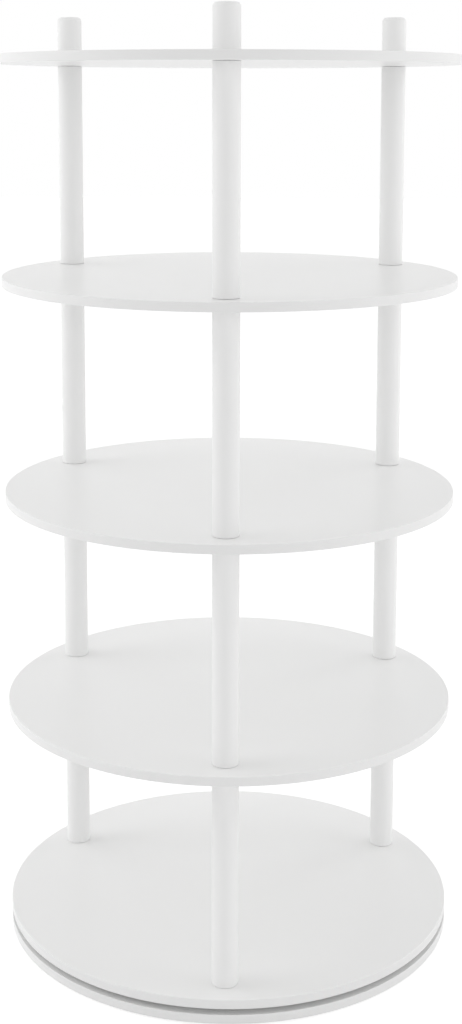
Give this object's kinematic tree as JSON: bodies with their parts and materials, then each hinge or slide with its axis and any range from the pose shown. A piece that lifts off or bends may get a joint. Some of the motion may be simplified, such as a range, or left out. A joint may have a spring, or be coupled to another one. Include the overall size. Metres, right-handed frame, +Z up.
{
  "type": "rotating shoe tower",
  "caption": "Free-standing shoe tower of round open shelves on dowel posts, turning as one on a ball bearing over a round base board.",
  "frame": {"origin": "centre of the base on the floor", "axes": "+Z up along the axis of rotation; one post stands at -Y, which is the front, and two stand behind"},
  "size_m": [0.46, 0.46, 0.9441],
  "materials": {
    "base_board": "semi-gloss white paint on fibreboard",
    "shelf_board": "semi-gloss white paint on fibreboard",
    "post": "satin white paint on turned wood",
    "stud_steel": "bright zinc-plated steel",
    "race": "satin turned aluminium",
    "ball_cage": "natural nylon with steel balls",
    "grip_pad": "matt grey rubber"
  },
  "bodies": {
    "base": {"base_board": "base_board", "grip_pad_1": "grip_pad", "grip_pad_2": "grip_pad", "grip_pad_3": "grip_pad", "grip_pad_4": "grip_pad", "grip_pad_5": "grip_pad", "grip_pad_6": "grip_pad", "inner_race": "race", "inner_race_screw_1": "stud_steel", "inner_race_screw_2": "stud_steel", "inner_race_screw_3": "stud_steel", "inner_race_screw_4": "stud_steel"},
    "ball_cage": {"ball_cage": "ball_cage"},
    "tower": {"shelf_1": "shelf_board", "shelf_2": "shelf_board", "shelf_3": "shelf_board", "shelf_4": "shelf_board", "shelf_5": "shelf_board", "post_1_front": "post", "post_1_right": "post", "post_1_left": "post", "post_2_front": "post", "post_2_right": "post", "post_2_left": "post", "post_3_front": "post", "post_3_right": "post", "post_3_left": "post", "post_4_front": "post", "post_4_right": "post", "post_4_left": "post", "finial_front": "post", "finial_right": "post", "finial_left": "post", "stud_2_front": "stud_steel", "stud_2_right": "stud_steel", "stud_2_left": "stud_steel", "stud_3_front": "stud_steel", "stud_3_right": "stud_steel", "stud_3_left": "stud_steel", "stud_4_front": "stud_steel", "stud_4_right": "stud_steel", "stud_4_left": "stud_steel", "stud_5_front": "stud_steel", "stud_5_right": "stud_steel", "stud_5_left": "stud_steel", "shelf_bolt_front": "stud_steel", "shelf_bolt_right": "stud_steel", "shelf_bolt_left": "stud_steel", "outer_race": "race", "outer_race_screw_1": "stud_steel", "outer_race_screw_2": "stud_steel", "outer_race_screw_3": "stud_steel", "outer_race_screw_4": "stud_steel"}
  },
  "joints": [
    {"name": "tower_spin", "type": "hinge", "parent": "base", "child": "tower", "pos_m": [0, 0, 0.0143], "axis": [0, 0, 1], "continuous": true},
    {"name": "ball_cage_spin", "type": "hinge", "parent": "base", "child": "ball_cage", "pos_m": [0, 0, 0.0143], "axis": [0, 0, 1], "continuous": true}
  ],
  "couplings": [
    {"joint": "ball_cage_spin", "follows": "tower_spin", "ratio": 0.5097}
  ]
}
